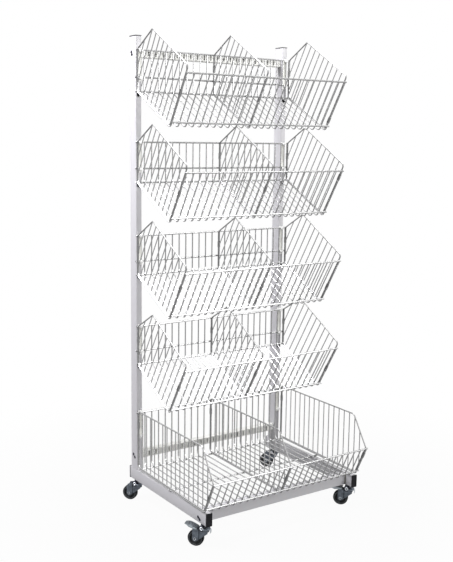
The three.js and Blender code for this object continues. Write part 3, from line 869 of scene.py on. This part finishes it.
class RACK_OT_tubes(bpy.types.Operator):
    """Draws the uprights, base rails and front cross rail as rounded steel tube"""

    bl_idname = "rack.tubes"
    bl_label = "Frame tubes"

    def execute(self, context):
        sizes = context.scene.rack_frame
        for side in SIDES:
            self.tube(side + "_base_tube", side + "_base_rail", 1, sizes)
            self.upright(side, sizes)
        self.tube("front_cross_tube", "front_cross_rail", 0, sizes)
        low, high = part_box("front_cross_rail")
        sunk = 0.6 * MM
        work = bmesh.new()
        for x in (low.x + sunk, high.x - sunk):
            for y in (low.y, high.y):
                foot, head = Vector((x, y, low.z)), Vector((x, y, high.z))
                self.weld(work, foot, head, (0.06, 0.35, 0.65, 0.94), sizes.bead)
        make_piece("front_cross_welds", work, "weld", "frame")
        return {"FINISHED"}

    def tube(self, name, solid, axis, sizes):
        """A tube along an axis, as large as its solid."""
        low, high, middle = boxed(solid)
        outline = rounded_box(*[high[side] - low[side] for side in across(axis)], sizes.corner)
        work = bmesh.new()
        prism(work, outline, along_axis(axis, middle), low[axis], high[axis])
        make_piece(name, work, "paint", "frame", solid)

    def upright(self, side, sizes):
        """One upright, welded on its base rail. Its solid holds the brackets too."""
        low, high, middle = boxed(side + "_upright")
        cap_low, cap_high, cap = boxed(side + "_upright_cap")
        depth, width = cap_high.y - cap_low.y - 2 * CAP_RIM, high.x - low.x
        outline = rounded_box(width, depth, sizes.corner)
        work = bmesh.new()
        prism(work, outline, along_axis(2, (middle.x, cap.y, 0)), low.z, high.z)
        half = Vector((width / 2 - sizes.corner, 0, 0))
        height = low.z + 0.3 * MM
        for way in (-1, 1):
            foot = Vector((middle.x, cap.y + way * depth / 2, height))
            self.weld(work, foot - half, foot + half, (0, 0.25, 0.5, 0.75, 1), sizes.foot_bead)
        make_piece(side + "_upright_tube", work, "paint", "frame", side + "_upright")

    def weld(self, work, start, stop, shares, thickness):
        """A weld bead through shares of the way from one spot to another."""
        end_round = bpy.context.scene.rack_frame.bead_round
        wire(work, [start.lerp(stop, share) for share in shares], thickness, end_round=end_round)


class RACK_OT_slotted(bpy.types.Operator):
    """Punches the two slotted cross rails"""

    bl_idname = "rack.slotted"
    bl_label = "Slotted cross rails"

    def execute(self, context):
        for name in ("low_cross_rail", "top_cross_rail"):
            work = bmesh.new()
            self.punched(work, *boxed(name), context.scene.rack_frame)
            make_piece(name.replace("_rail", "_tube"), work, "rail", "frame", name)
        return {"FINISHED"}

    def section(self, side, inset, sizes):
        """The square tube's section, set in, with a slot's ends as its second and third corner."""
        side -= 2 * inset
        line = rounded_box(side, side, max(sizes.corner - inset, 0.5 * MM))
        above, below = (Vector((-side / 2, way * sizes.slot_height / 2)) for way in (1, -1))
        return [line[-1], above, below, *line[:-1]]

    def punched(self, work, low, high, middle, sizes):
        """A square tube along X with a row of slots in its front wall."""
        count = int((high.x - low.x - 2 * sizes.slot_margin) / sizes.slot_pitch)
        stations, open_after = [low.x], set()
        for slot in range(count + 1):
            x = middle.x + (slot - count / 2) * sizes.slot_pitch
            open_after.add(len(stations))
            stations += [x - sizes.slot_width / 2, x + sizes.slot_width / 2]
        stations.append(high.x)
        place = along_axis(0, middle)
        skins = []
        for inset in (0, sizes.wall):
            line = self.section(high.z - low.z, inset, sizes)
            skins.append([[work.verts.new(place(*spot, x)) for spot in line] for x in stations])
        outer, inner = skins

        def edge_face(near, start, far, stop):
            """A face across the wall, from a corner of one station to a corner of another."""
            ends = (outer[near][start], outer[far][stop], inner[far][stop], inner[near][start])
            work.faces.new(ends)

        size = len(outer[0])
        for step in range(len(stations) - 1):
            for index in range(size):
                after = (index + 1) % size
                if step in open_after and index == 1:
                    continue
                for near, far in ((rings[step], rings[step + 1]) for rings in skins):
                    work.faces.new((near[index], near[after], far[after], far[index]))
            if step in open_after:
                for corner in (1, 2):
                    edge_face(step, corner, step + 1, corner)
                for end in (step, step + 1):
                    edge_face(end, 1, end, 2)
        for end in (0, -1):
            for index in range(size):
                edge_face(end, index, end, (index + 1) % size)


class RACK_OT_brackets(bpy.types.Operator):
    """Presses the hook brackets that carry the baskets"""

    bl_idname = "rack.brackets"
    bl_label = "Hook brackets"

    def execute(self, context):
        sizes = context.scene.rack_frame
        half = sizes.bracket / 2
        for tier, _ in TIERS:
            hang = Hanging(tier)
            outline = self.hooks(sizes, context.scene.rack_wires, hang)
            inwards = hang.rib_pitch / 2
            for side, x in zip(SIDES, (hang.rib_x[0] + inwards, hang.rib_x[-1] - inwards)):
                work = bmesh.new()
                plate(
                    work, outline, lambda a, b, along: hang.spot(along, Vector((a, b))),
                    x - half, x + half
                )
                make_piece(f"{side}_{tier}_bracket", work, "bracket", "frame", side + "_upright")
        return {"FINISHED"}

    def hooks(self, sizes, wires, hang):
        """The bracket's side outline: a plate on the upright with an upper and a lower hook."""
        top = hang.ribs[0]
        mid = Vector((top.x - hang.out, hang.side.back - sizes.hook_drop))
        wall = hang.back - upright_front()
        face = wall + sizes.plate
        grip = wires.rail / 2 + sizes.hook_play
        upper, lower = top.x + grip, mid.x + grip
        arm, lip, rise = sizes.hook_arm, sizes.hook_lip, sizes.hook_rise
        spots = (
            (wall, mid.y - sizes.bracket_foot),
            (face, mid.y - sizes.bracket_foot),
            (face, mid.y - grip - arm),
            (lower + lip, mid.y - grip - arm),
            (lower + lip, mid.y + lip),
            (lower, mid.y + lip),
            (lower, mid.y - grip),
            (face, mid.y - grip),
            (face, top.y - grip - arm),
            (upper + lip, top.y - grip - arm),
            (upper + lip, top.y + rise),
            (upper, top.y + rise),
            (upper, top.y - grip),
            (face, top.y - grip),
            (face, top.y + rise),
            (wall, top.y + rise),
        )
        return [Vector(spot) for spot in spots]


# An end cap's rings, in millimetres: how much smaller they are, and how far behind its face.
CAP_RINGS = (
    (4.2, 0.8), (3.2, 0.8), (2.6, 0), (0.9, 0), (0.25, 0.25), (0, 0.9), (0, 2.5), (5.6, 2.5),
    (5.8, 14.5),
)


class RACK_OT_caps(bpy.types.Operator):
    """Moulds the plastic caps in the tube ends"""

    bl_idname = "rack.caps"
    bl_label = "End caps"

    def execute(self, context):
        corner = context.scene.rack_frame.corner
        for side in SIDES:
            self.cap(side + "_upright_cap", 2, 1, corner)
            self.cap(side + "_front_end_cap", 1, -1, corner)
            self.cap(side + "_rear_end_cap", 1, 1, corner)
        return {"FINISHED"}

    def cap(self, name, axis, way, corner):
        """A cap that faces one way along an axis, its face dished and its plug in the tube."""
        low, high, middle = boxed(name)
        place = along_axis(axis, middle, (high if way > 0 else low)[axis], -way)
        width, depth = (high[side] - low[side] for side in across(axis))
        rings = []
        for inset, along in in_mm(CAP_RINGS):
            radius = max(0.8 * MM, corner - inset / 2)
            outline = rounded_box(width - inset, depth - inset, radius)
            rings.append([place(*spot, along) for spot in outline])
        work = bmesh.new()
        skin(work, rings)
        make_piece(name + "_moulding", work, "plastic", "frame", name)


# The screws on each outer side, in millimetres: how far behind the uprights' fronts, and how high.
SCREWS = ((24, 160), (15, 152), (28, 1478), (25, 1470), (-383, 87), (-391.6, 82.6))
# Round heads, in millimetres: how deep their backs and high their sides are, how wide and high
# their edges are rounded, the rings of their dimples as (share of the radius, height), and facets.
SCREW_HEAD = (0.4, 0.5, 5, 1.5, ((0.32, 1.9), (0.22, 1), (0, 0.9)), 14)
STOP_HEAD = (0.5, 3, 1.6, 1.6, ((0.45, 4.6), (0.3, 3.4), (0, 3.4)), 16)


class RACK_OT_fasteners(bpy.types.Operator):
    """Adds the screw heads and the rubber stops under the tilted baskets"""

    bl_idname = "rack.fasteners"
    bl_label = "Screws and stops"

    def execute(self, context):
        sizes = context.scene.rack_frame
        front = upright_front()
        left, right = (boxed(side + "_upright") for side in SIDES)
        for side, face, way in (("left", left[0].x, -1), ("right", right[1].x, 1)):
            work = bmesh.new()
            for depth, height in in_mm(SCREWS):
                place = quarter((face, front + depth, height), "Y", way)
                self.head(work, place, sizes.screw, *SCREW_HEAD)
            make_piece(side + "_side_screws", work, "screw", "frame")
        for tier, _ in TIERS[:-1]:
            height = Hanging(tier).base - sizes.button_drop
            for side, x in (("left", left[2].x), ("right", right[2].x)):
                work = bmesh.new()
                self.head(work, quarter((x, front, height), "X"), sizes.button, *STOP_HEAD)
                make_piece(f"{side}_{tier}_stop", work, "rubber", "frame")
        return {"FINISHED"}

    def head(self, work, place, width, back, side, bend, rise, dimple, facets):
        """A round head with a rounded edge and a dimple in its face."""
        radius = width / 2 / MM
        profile = [(0, -back), (radius, -back), (radius, side)]
        for step in range(1, 5):
            angle = math.pi / 2 * step / 5
            spot = (radius - bend * (1 - math.cos(angle)), side + rise * math.sin(angle))
            profile.append(spot)
        profile += [(share * radius, height) for share, height in dimple]
        lathe(work, in_mm(profile), facets, place)


# Casters.


# The casters' turned profiles, in millimetres, as (radius, height), some with their corners' radii.
BEARING = (
    (0, 71), (8.5, 71), (8.5, 68.2), (7.3, 67.4), (7.3, 62.4), (8.5, 61.8), (8.5, 60.2), (0, 60.2),
)
KINGPIN = ((0, 61), (6, 61), (6, 54), (0, 54))
NUT_ENDS = (51.8, 54.4)
CROWN = ((6.4, 59.7), (17, 59.7), (17, 55), (6.4, 54.7))
CROWN_ROUNDS = (0, 1.6, 0.8, 0)
WASHER = ((0, -0.3), (9.6, -0.3), (9.6, 2.6), (9, 3.3), (7.2, 3.3), (6.6, 2.4), (0, 2.4))
DOME = ((2, 2), (6.2, 2), (6.2, 3.6), (5.4, 5), (4.2, 5.8), (3, 5.8), (2, 4.8))
# A dark disc of painted shade that fills the bolt's hole.
BOLT_HOLE_SHADE = ((0, 2), (2.1, 2), (2.1, 3.6), (0, 3.4))
RIVET = ((2.7, -0.4), (4.4, -0.4), (4.4, 0.8), (4, 1.6), (3.4, 1.9), (2.7, 1.4))
# A dark disc of painted shade that fills the rivet's hole.
RIVET_HOLE_SHADE = ((0, -0.4), (2.8, -0.4), (2.8, 0.3), (0, 0.2))
# Only one side of these, from the middle plane out.
HUB = ((3.3, 10), (8.5, 10), (9.2, 6), (16.5, 5.4), (17.6, 9), (22, 9))
HUB_ROUNDS = (0, 0.8, 1, 1, 0.4, 0)
TYRE = ((19.4, 8.6), (22.3, 8.8), (23.7, 7.9), (24.7, 6), (25, 0.5))
TYRE_MIDDLE = (24.85, 0)
# Flat outlines in millimetres, as (behind the swivel, up from the floor).
NOSE = ((-11, 64.5), (-11, 44))
NOSE_ROUNDS = (2, 3)
PEDAL_EAR = ((36.5, 50), (35.5, 59.5), (20, 55.4))
PLAIN_EAR = ((36.5, 50), (31.5, 58), (19, 59.6))
TAB = ((-9, 57.6), (-17, 57), (-19, 55), (-19, 45.5), (-17.4, 45.5), (-17.4, 54.2), (-9, 55.8))
TAB_ROUNDS = (0, 1.5, 1.5, 0, 0, 0.6, 0)


def caster_place(corner):
    """Puts a spot given behind the swivel, across it and up from the floor in the row frame."""
    middle = boxed(corner + "_caster_head")[2]
    heading = bpy.context.scene.rack_caster.heading
    return Matrix.Translation((middle.x, middle.y, 0)) @ Matrix.Rotation(heading, 4, "Z")


def body_of(corner, part):
    """The body that a caster's part belongs to."""
    return f"{corner} {part}".replace("_", " ")


def both_sides(half, *middle):
    """A turned profile from its half on one side, and what lies in its middle plane."""
    return [*[(radius, -height) for radius, height in half], *middle, *reversed(half)]


class RACK_OT_caster_heads(bpy.types.Operator):
    """Turns the casters' bearing heads and kingpins"""

    bl_idname = "rack.caster_heads"
    bl_label = "Caster heads"

    def execute(self, context):
        nut = arc(Vector((0, 0)), context.scene.rack_caster.nut, 0, 300, 5)
        ends = [end * MM for end in NUT_ENDS]
        for corner in CORNERS:
            place = caster_place(corner)
            work = bmesh.new()
            lathe(work, in_mm(BEARING), 40, place)
            lathe(work, in_mm(KINGPIN), 24, place)
            plate(work, nut, lambda a, b, along: place @ Vector((a, b, along)), *ends)
            name = corner + "_caster_bearing"
            make_piece(name, work, "caster", "frame", corner + "_caster_head")
        return {"FINISHED"}


class RACK_OT_forks(bpy.types.Operator):
    """Presses the casters' forks and rivets their axles"""

    bl_idname = "rack.forks"
    bl_label = "Caster forks"

    def execute(self, context):
        for corner in CORNERS:
            self.fork(corner, context.scene.rack_caster)
        return {"FINISHED"}

    def fork(self, corner, sizes):
        """One fork: a domed crown, two bent legs with their bosses, and the axle between them."""
        place = caster_place(corner)
        braked = corner.startswith("front")
        work, dark, bright = bmesh.new(), bmesh.new(), bmesh.new()
        lathe(work, rounded_mm(CROWN, CROWN_ROUNDS), 40, place)
        face = sizes.spread + sizes.sheet
        bent = face - (sizes.crease - sizes.boss_behind) * sizes.slope
        for way in (-1, 1):
            self.leg(work, place, sizes, self.outline(sizes, braked), way)
            boss = place @ quarter((sizes.boss_behind, way * bent, sizes.boss_up), "X", -way)
            # The dark discs in the bolt's and the rivet's holes are painted shade.
            for mesh, profile in ((dark, WASHER), (bright, DOME), (dark, BOLT_HOLE_SHADE)):
                lathe(mesh, in_mm(profile), 24, boss)
            rivet = place @ quarter((sizes.trail, way * face, sizes.radius), "X", -way)
            for mesh, profile in ((bright, RIVET), (dark, RIVET_HOLE_SHADE)):
                lathe(mesh, in_mm(profile), 20, rivet)
        axle = place @ quarter((sizes.trail, 0, sizes.radius), "X")
        pin(work, sizes.axle, sizes.spread + sizes.sheet / 2, axle)
        if braked:
            tab = rounded_mm(TAB, TAB_ROUNDS, 5)
            ends = (-sizes.tab, sizes.tab)
            plate(bright, tab, lambda a, b, along: place @ Vector((a, along, b)), *ends)
        body = body_of(corner, "fork")
        make_piece(corner + "_fork_pressing", work, "caster", body, corner + "_fork")
        # The washers, with the dark discs of painted shade in the holes.
        make_piece(corner + "_fork_washers", dark, "screw", body)
        make_piece(corner + "_fork_bolts", bright, "bolt", body)

    def outline(self, sizes, braked):
        """A leg's outline: round at the axle, with ears round its boss and at the pedal's pin."""
        axle = Vector((sizes.trail, sizes.radius))
        nose = in_mm(NOSE)
        away = axle - nose[1]
        lean = math.atan2(away.y, away.x) - math.asin(sizes.foot / away.length)
        corners = arc(axle, sizes.foot, math.degrees(lean) - 90, 0, 12)
        corners += in_mm(PEDAL_EAR if braked else PLAIN_EAR)
        corners += arc(Vector((sizes.boss_behind, sizes.boss_up)), sizes.boss, -7, 187, 14)
        radii = [0] * len(corners) + [radius * MM for radius in NOSE_ROUNDS]
        return rounded(corners + nose, radii, True, 3)

    def leg(self, work, place, sizes, outline, way):
        """One leg of sheet, bent in at its crease, with a groove pressed along it."""
        near, far = sorted((way * sizes.spread, way * (sizes.spread + sizes.sheet)))
        flat = bmesh.new()
        plate(flat, outline, lambda a, b, along: Vector((a, along, b)), near, far, 0.5 * MM)
        half = sizes.groove_half
        for along in (-half, 0, half):
            whole = flat.verts[:] + flat.edges[:] + flat.faces[:]
            crease = (sizes.crease + along, 0, 0)
            bmesh.ops.bisect_plane(flat, geom=whole, plane_co=crease, plane_no=(1, 0, 0))
        for vert in flat.verts:
            ahead = sizes.crease - vert.co.x
            pressed = max(0, 1 - abs(ahead) / half) * sizes.groove
            if abs(vert.co.y) <= sizes.spread + sizes.sheet / 2:
                pressed *= sizes.groove_inside
            vert.co.y -= way * (max(0, ahead) * sizes.slope + pressed)
        bmesh.ops.transform(flat, matrix=place, verts=flat.verts)
        join(work, flat)


class RACK_OT_wheels(bpy.types.Operator):
    """Moulds the wheels: a hub with a ringed face and a rounded tyre"""

    bl_idname = "rack.wheels"
    bl_label = "Wheels"

    def execute(self, context):
        sizes = context.scene.rack_caster
        hub = rounded_mm(both_sides(HUB), (*HUB_ROUNDS, *reversed(HUB_ROUNDS)))
        tyre = in_mm(both_sides(TYRE, TYRE_MIDDLE))
        for corner in CORNERS:
            spin = caster_place(corner) @ quarter((sizes.trail, 0, sizes.radius), "X")
            parts = (("hub", "hub", hub, 48), ("tyre", "rubber", tyre, 64))
            for part, look, profile, facets in parts:
                work = bmesh.new()
                lathe(work, profile, facets, spin)
                name = f"{corner}_wheel_{part}"
                make_piece(name, work, look, body_of(corner, "wheel"), corner + "_wheel")
        return {"FINISHED"}


# The pedal's pressed tread, in millimetres: from the pin, half width, crown height, edge's drop.
TREAD = (
    (-8.5, 13.7, 4.4, 1.4),
    (-5, 14.2, 4.8, 3.8),
    (1, 14.3, 5.2, 4.6),
    (8, 14.4, 5.4, 5.2),
    (14, 14.4, 5.4, 5.6),
    (18, 14.4, 5.2, 5.4),
    (21.5, 14.3, 4.6, 3.4),
    (25, 13.9, 3.5, 1.4),
    (28, 12.9, 2.4, 0.5),
    (31, 11.2, 1.3, 0.35),
    (32.8, 9.4, 0.6, 0.3),
    (33.5, 7.6, 0.3, 0.25),
)


class RACK_OT_pedals(bpy.types.Operator):
    """Presses the brake pedals on the front casters"""

    bl_idname = "rack.pedals"
    bl_label = "Brake pedals"

    def execute(self, context):
        sizes = context.scene.rack_caster
        pivot = Matrix.Translation((sizes.pedal_forward, 0, sizes.pedal_up))
        for corner, angle in (("front_left", sizes.pedal_lift), ("front_right", 0)):
            place = caster_place(corner) @ pivot @ Matrix.Rotation(-angle, 4, "Y")
            work = bmesh.new()
            skin(work, [self.section(place, *station) for station in TREAD])
            half = sizes.spread - sizes.pedal_play
            pin(work, sizes.pedal_pin, half, place @ quarter((0, 0, 0), "X"))
            make_piece(
                corner + "_pedal_pressing", work, "pedal", body_of(corner, "brake pedal"),
                corner + "_brake_pedal"
            )
        return {"FINISHED"}

    def section(self, place, along, half, crown, drop):
        """The tread's section at one station: a crowned sheet with its edges turned down."""
        sheet, bend = 1.3, 1.6
        foot = crown - bend - drop
        top = [
            (half, foot), (half, crown - bend), (half - 0.3 * bend, crown - 0.3 * bend),
            (half - bend, crown), (0.4 * half, crown + 0.3), (0, crown + 0.4),
        ]
        under = [
            (half - sheet, foot), (half - sheet, crown - bend - 0.4 * sheet),
            (half - 1.2 * bend, crown - sheet), (0.4 * half, crown + 0.3 - sheet),
            (0, crown + 0.4 - sheet),
        ]
        ring = top + [(-wide, high) for wide, high in top[-2::-1] + under] + under[-2::-1]
        return [place @ (Vector((along, wide, high)) * MM) for wide, high in ring]


# Stage.


class RACK_OT_stage(bpy.types.Operator):
    """Sets the camera, the lamps, the pale floor and the white room"""

    bl_idname = "rack.stage"
    bl_label = "Camera, light and floor"

    def execute(self, context):
        scene, stage = context.scene, context.scene.rack_stage
        self.camera(scene, stage)
        self.lamps(scene, stage)
        self.floor(scene, stage)
        self.room(scene, stage)
        scene.view_settings.view_transform = "Standard"
        return {"FINISHED"}

    def camera(self, scene, stage):
        """The camera at the photograph's place and angle."""
        lens = bpy.data.cameras.new("rack_camera")
        lens.lens = stage.lens
        lens.sensor_width = 36
        eye = bpy.data.objects.new("rack_camera", lens)
        heading = Matrix.Rotation(-stage.heading, 4, "Z")
        dip = Matrix.Rotation(math.pi / 2 - stage.dip, 4, "X")
        roll = Matrix.Rotation(stage.roll, 4, "Z")
        eye.matrix_world = Matrix.Translation(stage.eye) @ heading @ dip @ roll
        scene.collection.objects.link(eye)
        scene.camera = eye

    def lamps(self, scene, stage):
        """Three large soft lamps."""
        aim = Vector((0, 0, 0.75))
        lamps = (
            ("left_lamp", (-1.6, 0.5, 2.5), 0.9, stage.key, (0.97, 0.96, 1)),
            ("front_lamp", (1.3, -2.4, 2.3), 1.8, stage.fill, (1, 1, 1)),
            ("top_lamp", (0.1, 0.1, 3.5), 2.4, stage.top, (1, 1, 1)),
        )
        for name, place, size, power, colour in lamps:
            light = bpy.data.lights.new(name, "AREA")
            light.shape = "SQUARE"
            light.size = size
            light.energy = power
            light.color = colour
            lamp = bpy.data.objects.new(name, light)
            lamp.location = place
            lamp.rotation_euler = (aim - Vector(place)).to_track_quat("-Z", "Y").to_euler()
            scene.collection.objects.link(lamp)

    def sight(self, tree, stage):
        """A mask of the rays that see the surroundings, those in gloss only in part."""
        rays = node(tree, "LightPath", {}).outputs
        gloss = {0: rays["Is Glossy Ray"], 1: stage.gloss}
        gloss = node(tree, "Math", gloss, operation="MULTIPLY").outputs[0]
        seen = rays["Is Camera Ray"]
        for mask in (rays["Is Transmission Ray"], gloss):
            seen = node(tree, "Math", {0: seen, 1: mask}, operation="MAXIMUM").outputs[0]
        return seen

    def away(self, tree):
        """A value that grows to 1 away from the rack, so that the floor runs out into white."""
        spot = node(tree, "TexCoord", {}).outputs["Object"]
        reach = node(tree, "VectorMath", {0: spot}, operation="LENGTH").outputs["Value"]
        near, far, share = 0.5, 1.4, 0.955
        return spread(tree, reach, near, far, share, 1)

    def floor(self, scene, stage):
        """A pale floor that looks white and keeps a faint shadow."""
        mesh = bpy.data.meshes.new("floor")
        reach = 14
        corners = [(-reach, -reach, 0), (reach, -reach, 0), (reach, reach, 0), (-reach, reach, 0)]
        mesh.from_pydata(corners, [], [(0, 1, 2, 3)])
        floor = bpy.data.objects.new("floor", mesh)
        scene.collection.objects.link(floor)
        grey = (0.3, 0.3, 0.3)
        made, tree, shader = start_finish("rack_floor", grey, 0.8, 0)
        shader.inputs["Specular IOR Level"].default_value = 0.1
        tone = between(tree, noise(tree, 3), (0.29, 0.29, 0.29), (0.31, 0.31, 0.31))
        plug(tree, shader.inputs["Base Color"], tone)
        white = node(tree, "Emission", {"Strength": 1})
        share = {0: self.sight(tree, stage), 1: self.away(tree)}
        share = node(tree, "Math", share, operation="MULTIPLY").outputs[0]
        mix = node(tree, "MixShader", {0: share, 1: shader.outputs[0], 2: white.outputs[0]})
        plug(tree, tree.nodes["Material Output"].inputs["Surface"], mix.outputs[0])
        mesh.materials.append(made)

    def room(self, scene, stage):
        """Even light from all round that is seen as white."""
        world = bpy.data.worlds.new("rack_room")
        world.use_nodes = True
        tree = world.node_tree
        tree.nodes.clear()
        air, seen = (
            node(tree, "Background", {"Color": (1, 1, 1, 1), "Strength": strength}).outputs[0]
            for strength in (stage.air, 1)
        )
        mix = node(tree, "MixShader", {0: self.sight(tree, stage), 1: air, 2: seen})
        node(tree, "OutputWorld", {"Surface": mix.outputs[0]})
        scene.world = world


GROUPS = {
    "rack_wires": RackWireSizes,
    "rack_tilt": RackTiltSizes,
    "rack_bin": RackBinSizes,
    "rack_frame": RackFrameSizes,
    "rack_caster": RackCasterSizes,
    "rack_colours": RackColours,
    "rack_stage": RackStage,
}
STEPS = (
    RACK_OT_baskets,
    RACK_OT_panels,
    RACK_OT_clips,
    RACK_OT_tubes,
    RACK_OT_slotted,
    RACK_OT_brackets,
    RACK_OT_caps,
    RACK_OT_fasteners,
    RACK_OT_caster_heads,
    RACK_OT_forks,
    RACK_OT_wheels,
    RACK_OT_pedals,
    RACK_OT_stage,
)


class RACK_PT_build(bpy.types.Panel):
    """The rack's sizes, colours and steps"""

    bl_idname = "RACK_PT_build"
    bl_label = "Wire display rack"
    bl_space_type = "VIEW_3D"
    bl_region_type = "UI"
    bl_category = "Rack"

    def draw(self, context):
        for name, group in GROUPS.items():
            box = self.layout.box()
            box.label(text=group.__doc__)
            for key in group.__annotations__:
                box.prop(getattr(context.scene, name), key)
        for step in STEPS:
            self.layout.operator(step.bl_idname, text=step.bl_label)


def register():
    """Adds the property groups, the steps and the panel."""
    for name, group in GROUPS.items():
        bpy.utils.register_class(group)
        setattr(bpy.types.Scene, name, bpy.props.PointerProperty(type=group))
    for step in (*STEPS, RACK_PT_build):
        bpy.utils.register_class(step)


def unregister():
    """Takes them away again."""
    for step in reversed((*STEPS, RACK_PT_build)):
        bpy.utils.unregister_class(step)
    for name, group in reversed(GROUPS.items()):
        delattr(bpy.types.Scene, name)
        bpy.utils.unregister_class(group)


def main():
    """Registers everything and runs the steps in order."""
    register()
    for step in STEPS:
        area, name = step.bl_idname.split(".")
        getattr(getattr(bpy.ops, area), name)()


if __name__ == "__main__":
    main()
